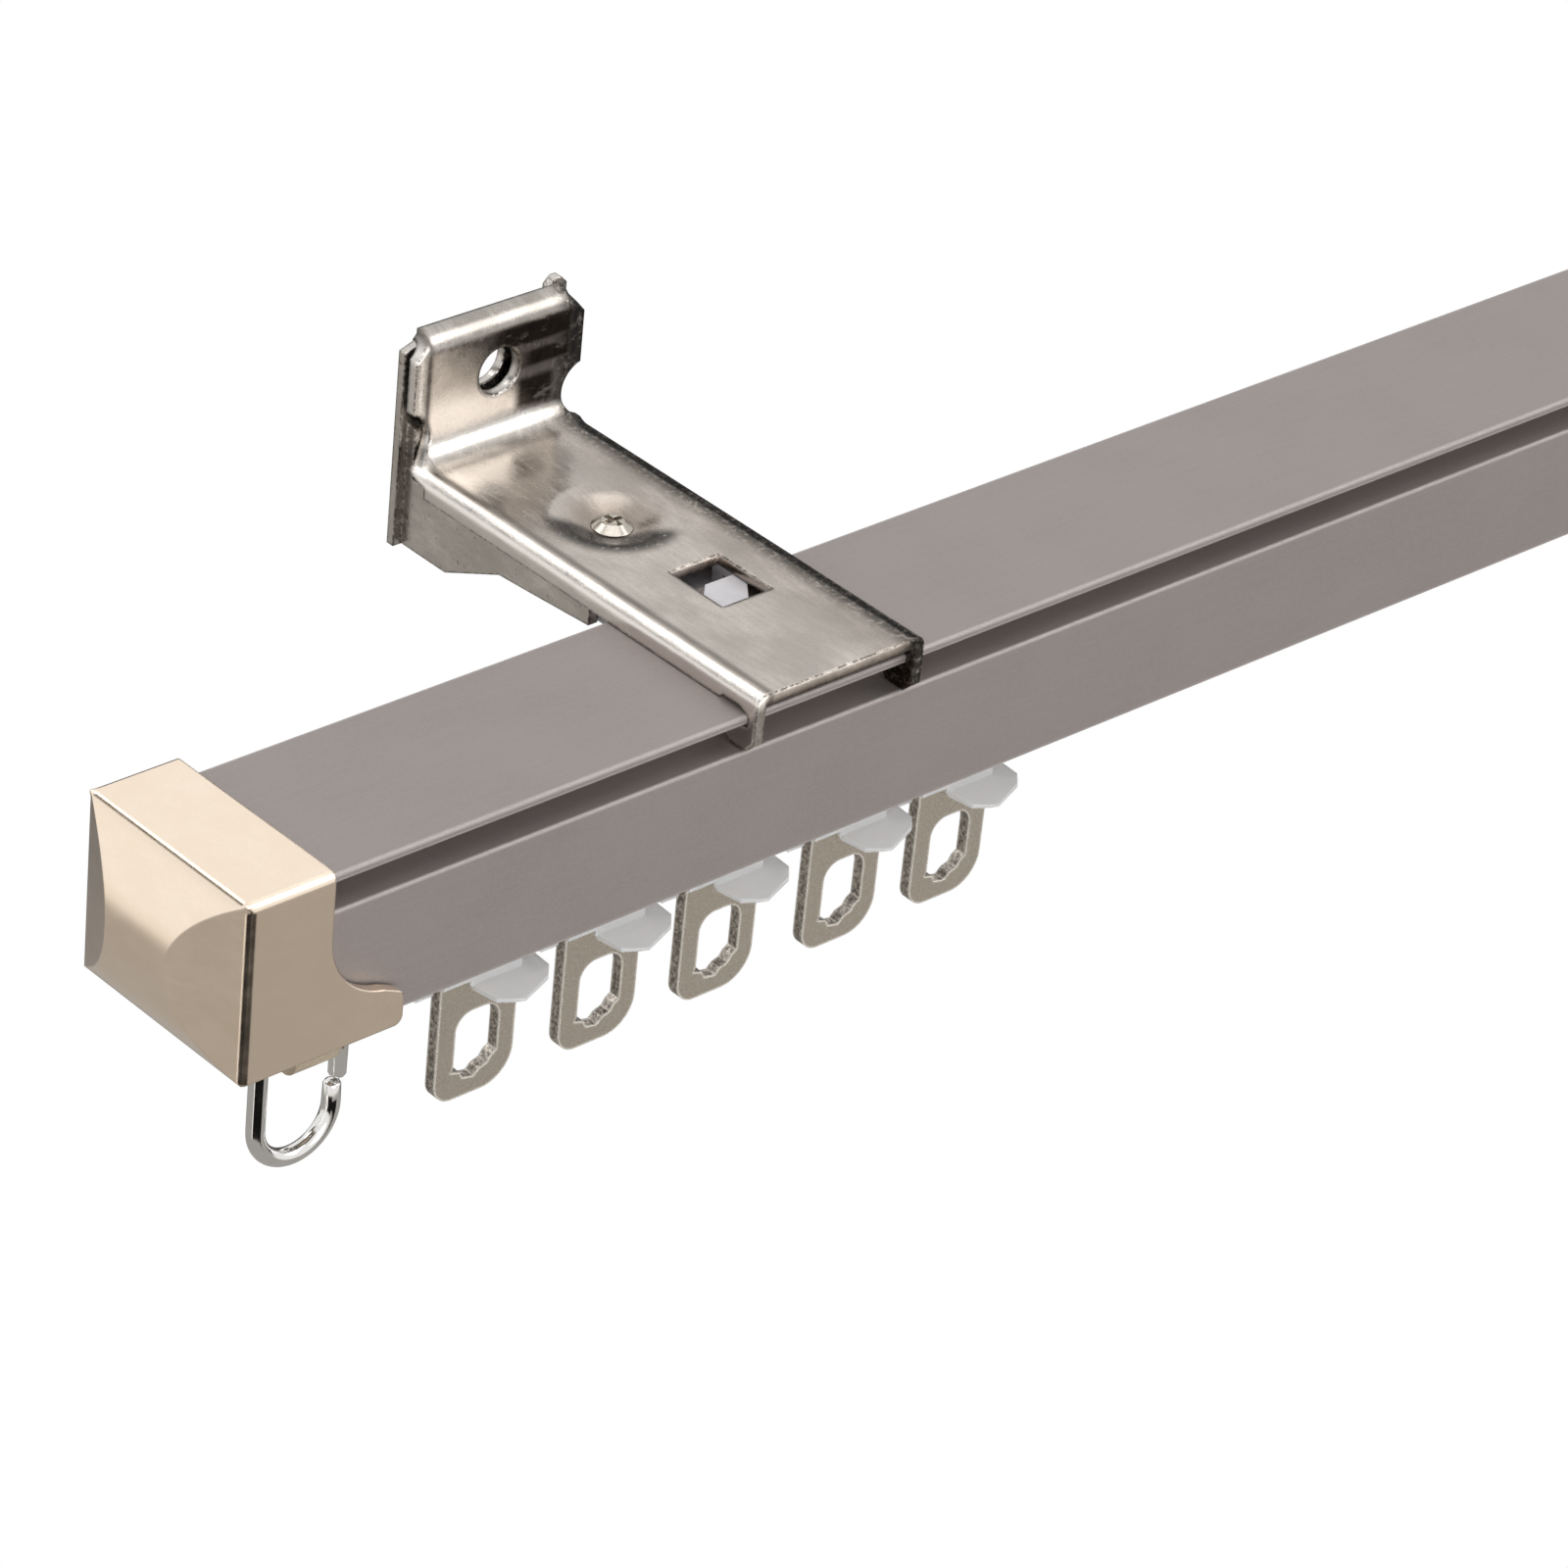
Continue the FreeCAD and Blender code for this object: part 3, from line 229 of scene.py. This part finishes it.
def arm_details(s, base, relief, painted_shade_and_pits, spot):
    """The nickel's colour, relief, painted highlights and painted dark reflections and shade on a bracket's
    arm, where the places below are in millimetres.
    """
    side = s.math("SUBTRACT", BRACKET_PLACE, s.math("ABSOLUTE", s.along("X")))    # towards the row's middle
    back = s.math("SUBTRACT", s.along("Y"), DISH_PLACE)                           # from the dish to the wall
    high = s.along("Z")
    wide = s.math("ABSOLUTE", side)
    reach = s.math("SQRT", s.math("ADD", s.times(side, side), s.times(back, back)))

    # The long edges, the dish and the bend are drawn down softly.
    relief = s.bump(s.fade(wide, 10.9, 8.9), 0.55, relief)
    relief = s.bump(s.fade(reach, 2.4, 7.0), 0.45, relief)
    relief = s.bump(s.fade(high, -4.5, -9.8), 0.9, relief)

    # The flat top is warmer; the tab's foot and the long edges get a painted highlight.
    base = s.mix(s.fade(high, -7.0, -9.0), base, (0.91, 0.83, 0.775), "MULTIPLY")
    foot = s.times(s.band(high, -7.5, -1.5, 1.8), s.fade(side, 8.0, 2.0))
    painted_highlight = s.most(s.times(foot, 0.55), s.times(s.fade(wide, 9.6, 10.4), 0.75))
    base = s.mix(painted_highlight, base, (0.90, 0.86, 0.81))

    # Painted dark reflections and shade: three mottled bands over the tab's inner half, the inner rim, the
    # dish's front and the creases.
    upper = s.times(s.band(high, 2.1, 4.7, 0.3), s.fade(side, -4.0, 1.0))
    middle = s.times(s.band(high, -0.6, 1.2, 0.3), s.fade(side, 2.0, 4.5))
    lower = s.times(s.band(high, -5.2, -1.8, 0.5), s.band(side, 2.6, 7.4, 0.7))
    rough = s.noise(1.7, 4.0, 0.6, (0.5, 1.0, 1.2))
    tab_painted_reflection = s.times(s.most(upper, middle, lower), s.ramp(rough, (0.36, 0.1), (0.46, 0.98)))
    rim = s.times(s.fade(side, 6.6, 9.6), s.ramp(spot, (0.30, 0.1), (0.50, 1.0)))
    crescent = s.times(s.fade(reach, 8.0, 6.0), s.fade(s.math("ADD", side, back), -0.5, -3.5))
    crescent = s.times(crescent, s.ramp(spot, (0.28, 0.2), (0.44, 1.0)))
    crease = s.times(s.band(wide, 8.85, 9.65, 0.35), 0.55)
    return base, relief, s.most(painted_shade_and_pits, tab_painted_reflection, rim, crescent, crease)


def nickel_finish(name, soft, pressed):
    """Bright nickel on sheet metal, with painted shade in dark mottles along its edges, and the arm's details
    where it is pressed.
    """
    s = Shader(name, Metallic=1.0)
    grain = s.noise(0.30, 4.0, 0.7)
    spot = s.noise(0.55, 4.0, 0.7)
    drawn = s.noise(0.7, 3.0, 0.6, (1.0, 0.22, 0.6))
    wave = s.noise(8.0, 2.0, 0.5, (1.0, 0.7, 1.0))
    base = s.mix(s.ramp(grain, (0.3, 0.0), (0.7, 1.0)), (0.37, 0.343, 0.314), (0.50, 0.467, 0.43))
    base = s.mix(s.ramp(drawn, (0.42, 0.0), (0.7, 0.6)), base, (0.62, 0.583, 0.54))
    base = s.mix(s.ramp(wave, (0.40, 0.6), (0.56, 0.0)), base, (0.28, 0.256, 0.230))
    # Painted shade: dark mottles along the edges, standing in for dark reflections and the shade in creases.
    painted_shade_and_pits = s.times(s.edges(0.5), s.ramp(spot, (0.44, 0.0), (0.54, 1.0)))
    relief = s.bump(wave, 0.20, s.rounded(soft))
    if pressed:
        base, relief, painted_shade_and_pits = arm_details(s, base, relief, painted_shade_and_pits, spot)
    else:
        base = s.mix(0.35, base, (0.90, 0.86, 0.80))
        # The base also gets real dark pits.
        painted_shade_and_pits = s.most(painted_shade_and_pits, s.ramp(spot, (0.62, 0.0), (0.68, 0.6)))
    s.to("Base Color", s.mix(painted_shade_and_pits, base, (0.045, 0.036, 0.028)))
    s.to("Roughness", s.ramp(drawn, (0.3, 0.17), (0.7, 0.31)))
    s.to("Normal", s.bump(grain, 0.014, s.bump(drawn, 0.012, relief)))
    return s.material


def eyelet_finish():
    """Dull nickel with light edges, a painted highlight, and painted shade in dark mottles on its cut faces.
    """
    s = Shader("eyelet_nickel")
    grain = s.noise(0.16, 3.0, 0.6)
    spot = s.noise(0.4, 4.0, 0.7)
    cut = s.sheared("Y")
    # Painted highlight: lighter, less metallic edges.
    edge_highlight = s.edges(0.5)
    base = s.mix(s.ramp(grain, (0.3, 0.0), (0.7, 1.0)), (0.60, 0.54, 0.46), (0.72, 0.66, 0.575))
    # Painted shade: the cut faces are dark and mottled, for the shade and dark reflections between the
    # eyelets.
    cut_face_painted_shade = s.mix(s.ramp(spot, (0.42, 0.0), (0.60, 1.0)), (0.16, 0.145, 0.125), (0.55, 0.50, 0.44))
    s.to("Base Color", s.mix(edge_highlight, s.mix(cut, base, cut_face_painted_shade), (0.84, 0.79, 0.71)))
    s.to("Metallic", s.ramp(edge_highlight, (0.0, 1.0), (1.0, 0.1)))
    s.to("Roughness", s.ramp(grain, (0.3, 0.24), (0.7, 0.36)))
    s.to("Normal", s.bump(grain, 0.006, s.bump(s.times(spot, cut), 0.03, s.rounded(0.22))))
    return s.material


def chrome_finish():
    s = Shader("ring_chrome", Metallic=1.0)
    wave = s.noise(1.6, 3.0, 0.5)
    s.to("Base Color", s.mix(wave, (0.72, 0.71, 0.69), (0.84, 0.83, 0.81)))
    s.to("Roughness", s.ramp(wave, (0.3, 0.04), (0.7, 0.12)))
    s.to("Normal", s.bump(wave, 0.010))
    return s.material


def moulded(s, light, dark, rough, edge):
    """A moulded plastic's colour, and its roughness and fine relief on every plastic alike."""
    cloud = s.noise(1.6, 3.0, 0.6)
    grain = s.noise(0.12, 2.0, 0.5)
    s.to("Roughness", s.ramp(cloud, (0.3, rough - 0.06), (0.7, rough + 0.06)))
    s.to("Normal", s.bump(grain, 0.002, s.bump(cloud, 0.006, s.rounded(edge))))
    return s.mix(s.ramp(cloud, (0.3, 0.0), (0.7, 1.0)), light, dark)


def plastic_finish(name, light, dark, rough=0.36, metallic=0.0):
    s = Shader(name, IOR=1.49, Metallic=metallic)
    s.to("Base Color", moulded(s, light, dark, rough, 0.12))
    return s.material


def hood_finish():
    """Milky plastic that lets some light through, with a painted highlight along its edges, where it is
    lighter and less clear.
    """
    s = Shader("glider_plastic", IOR=1.49, Subsurface_Weight=0.6, Subsurface_Radius=(1.0, 0.9, 0.85),
               Subsurface_Scale=0.002)
    edge = s.edges(0.25)
    base = moulded(s, (0.99, 0.975, 0.965), (0.96, 0.945, 0.945), 0.34, 0.2)
    # Painted highlight: the edges are lighter and let less light through.
    s.to("Base Color", s.mix(edge, base, (1.0, 0.995, 0.98)))
    s.to("Transmission Weight", s.ramp(edge, (0.0, 0.3), (1.0, 0.0)))
    return s.material


def screw_finish():
    s = Shader("screw_plate", Metallic=1.0, Roughness=0.2)
    grain = s.noise(0.3, 3.0, 0.6)
    s.to("Base Color", s.mix(grain, (0.34, 0.31, 0.27), (0.56, 0.52, 0.46)))
    s.to("Normal", s.bump(grain, 0.006, s.rounded(0.12)))
    return s.material


# One finish for each kind of node: its name without the side or number at its end.
FINISHES = {
    "rail": rail_finish(),
    "end_cap": cap_finish(),
    "stop_block": plastic_finish("stop_plastic", (0.56, 0.47, 0.34), (0.50, 0.415, 0.30), 0.3, 0.4),
    "grub_screw": screw_finish(),
    "end_ring": chrome_finish(),
    "bracket_arm": nickel_finish("arm_nickel", 0.7, True),
    "bracket_base": nickel_finish("base_nickel", 0.35, False),
    "clamp_screw": screw_finish(),
    "rail_lock": plastic_finish("lock_plastic", (0.63, 0.61, 0.635), (0.56, 0.545, 0.57)),
    "glider": hood_finish(),
    "eyelet": eyelet_finish(),
}

for name, item in nodes.items():
    finish = FINISHES[name.rsplit("_", 1)[0]]
    if not item.material_slots:
        item.data.materials.append(finish)
    for held in item.material_slots:
        held.material = finish


def place_in_scene(name, data):
    item = bpy.data.objects.new(name, data)
    bpy.context.scene.collection.objects.link(item)
    return item


def add_mesh(name, points, faces):
    mesh = bpy.data.meshes.new(name)
    mesh.from_pydata(points, [], faces)
    return place_in_scene(name, mesh)


def add_square(name, half, level):
    corners = [(-half, -half, level), (half, -half, level), (half, half, level), (-half, half, level)]
    return add_mesh(name, corners, [(0, 1, 2, 3)])


def tube(name, way, radius, sides=24, ease=(0.45, 0.8, 0.95)):
    """A round wire along a way that lies in one plane of constant Y, thinner at its ends; millimetres."""
    points = []
    last = len(way) - 1
    for index, point in enumerate(way):
        before, after = way[max(index - 1, 0)], way[min(index + 1, last)]
        along = Vector((after[0] - before[0], 0.0, after[2] - before[2])).normalized()
        across = Vector((-along.z, 0.0, along.x))
        from_end = min(index, last - index)
        thick = radius * ease[from_end] if from_end < len(ease) else radius
        for turn in range(sides):
            angle = 2 * math.pi * turn / sides
            side = across * math.cos(angle) + Vector((0.0, 1.0, 0.0)) * math.sin(angle)
            points.append((Vector(point) + side * thick) / 1000.0)
    faces = [tuple(range(sides)), tuple(range(last * sides, (last + 1) * sides))]
    for ring in range(last):
        for turn in range(sides):
            near, far = ring * sides + turn, ring * sides + (turn + 1) % sides
            faces.append((near, far, far + sides, near + sides))
    item = add_mesh(name, points, faces)
    shape = bmesh.new()
    shape.from_mesh(item.data)
    bmesh.ops.recalc_face_normals(shape, faces=shape.faces)
    shape.to_mesh(item.data)
    shape.free()
    for face in item.data.polygons:
        face.use_smooth = True
    return item


def arc(centre_x, centre_z, radius, start, end, steps):
    """Points of an arc in the plane of the ring, angles in degrees from +X towards +Z."""
    found = []
    for step in range(steps + 1):
        angle = math.radians(start + (end - start) * step / steps)
        found.append((centre_x + radius * math.cos(angle), centre_z + radius * math.sin(angle)))
    return found


def build_end_ring(name, side):
    """The bent wire ring, round where the solid has flats: up the short leg, over, down and round the bow.

    Its way is drawn in the ring's plane, in millimetres from the ring's middle and below its axis.
    """
    wire, corner, bow = 0.96, 1.2, 4.6
    leg, depth = 5.15, 12.8
    leg_end, bow_end = (5.5, 5.35, 5.1), (6.2, 5.95, 5.8)
    top, bow_level = RING_AXIS - corner, RING_AXIS - depth + bow
    flat = [(leg, RING_AXIS - drop) for drop in leg_end]
    flat += arc(leg - corner, top, corner, 0, 90, 8)
    flat += arc(-bow + corner, top, corner, 90, 180, 8)
    flat += arc(0.0, bow_level, bow, 180, 360, 32)
    flat += [(bow, RING_AXIS - drop) for drop in bow_end]
    way = [(side * (RING_PLACE - out), RAIL_MIDDLE, z) for out, z in flat]
    ring = tube(name + "_wire", way, wire)
    ring.data.materials.append(FINISHES["end_ring"])
    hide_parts(name)
    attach(ring, name)


def straight_ray(tree):
    """1 for what the camera sees, in mirrors and through clear pieces too, and 0 for the light that falls."""
    path = tree.nodes.new("ShaderNodeLightPath")
    found = path.outputs["Is Camera Ray"]
    for kind in ("Is Glossy Ray", "Is Transmission Ray"):
        either = tree.nodes.new("ShaderNodeMath")
        either.operation = "MAXIMUM"
        tree.links.new(found, either.inputs[0])
        tree.links.new(path.outputs[kind], either.inputs[1])
        found = either.outputs[0]
    return found


def build_floor():
    """A pale floor that is seen as plain white."""
    floor = add_square("floor", FLOOR_HALF, FLOOR_LEVEL)
    s = Shader("floor_white", Roughness=0.8, Base_Color=(0.8, 0.8, 0.8, 1.0))
    white = s.add("ShaderNodeEmission", {"Color": WHITE, "Strength": 1.0}).outputs[0]
    paint = s.surface.outputs[0]
    s.out(s.add("ShaderNodeMixShader", {0: straight_ray(s.tree), 1: paint, 2: white}).outputs[0])
    floor.data.materials.append(s.material)


def build_world():
    """White behind the object, in its reflections too; a softer grey as the light from all round."""
    world = bpy.data.worlds.new("studio")
    bpy.context.scene.world = world
    world.use_nodes = True
    tree = world.node_tree
    blend = tree.nodes.new("ShaderNodeMix")
    blend.data_type = "RGBA"
    blend.inputs[6].default_value = (AROUND_GREY, AROUND_GREY, AROUND_GREY, 1.0)
    blend.inputs[7].default_value = WHITE
    tree.links.new(straight_ray(tree), blend.inputs[0])
    tree.links.new(blend.outputs[2], tree.nodes["Background"].inputs["Color"])


def set_up_card(card, s):
    """Gives a studio card its material. Only mirrors see it: it gives no light and no shadow."""
    card.data.materials.append(s.material)
    card.visible_camera = False
    card.visible_diffuse = False
    card.visible_shadow = False
    card.visible_transmission = False


def warm(grey):
    return (grey, 0.96 * grey, 0.91 * grey)


def build_table():
    """The card below the object: its own grey, dark behind the object and white at its other rims."""
    card = add_square("table_card", TABLE_HALF, TABLE_LEVEL)
    s = Shader("table_card_paint")
    behind = s.math("ADD", s.along("X"), s.along("Y"))
    reach = s.add("ShaderNodeVectorMath", {0: s.place}, operation="LENGTH").outputs["Value"]
    rim = s.times(s.fade(reach, 1.45, 2.4), s.fade(behind, 780.0, 420.0))
    tone = s.mix(rim, warm(TABLE_GREY), (0.95, 0.93, 0.90))
    far = (TABLE_FAR_GREY, TABLE_FAR_GREY, TABLE_FAR_GREY)
    s.shine_out(s.mix(s.fade(behind, 520.0, 1000.0), tone, far))
    set_up_card(card, s)


def build_screen(name, start, end, reach, low, high, grey, steps=8):
    """A curved card that stands round the object."""
    points = []
    for step in range(steps + 1):
        angle = math.radians(start + (end - start) * step / steps)
        x, y = SCREEN_MIDDLE[0] + reach * math.cos(angle), SCREEN_MIDDLE[1] + reach * math.sin(angle)
        points += [(x, y, low), (x, y, high)]
    faces = [(2 * step, 2 * step + 2, 2 * step + 3, 2 * step + 1) for step in range(steps)]
    card = add_mesh(name, points, faces)
    s = Shader(name + "_paint")
    s.shine_out(warm(grey))
    set_up_card(card, s)


def build_lamp(name, place, size, power):
    light = bpy.data.lights.new(name, "AREA")
    light.shape = "RECTANGLE"
    light.size, light.size_y = size
    light.energy = power
    item = place_in_scene(name, light)
    item.location = place
    item.rotation_euler = (Vector(LAMP_TARGET) - Vector(place)).to_track_quat("-Z", "Y").to_euler()


def build_camera():
    data = bpy.data.cameras.new("camera")
    data.lens = CAMERA_LENS
    data.sensor_width = CAMERA_SENSOR
    data.clip_start = 0.05
    data.clip_end = 60.0
    item = place_in_scene("camera", data)
    turn = Matrix((CAMERA_RIGHT, CAMERA_UP, CAMERA_BACK)).transposed().to_4x4()
    item.matrix_world = Matrix.Translation(CAMERA_PLACE) @ turn
    bpy.context.scene.camera = item


build_end_ring("end_ring_left", -1)
build_end_ring("end_ring_right", 1)
build_floor()
build_world()
build_table()
for name, values in SCREENS.items():
    build_screen(name, *values)
for name, values in LAMPS.items():
    build_lamp(name, *values)
build_camera()
bpy.context.scene.view_settings.view_transform = "Standard"
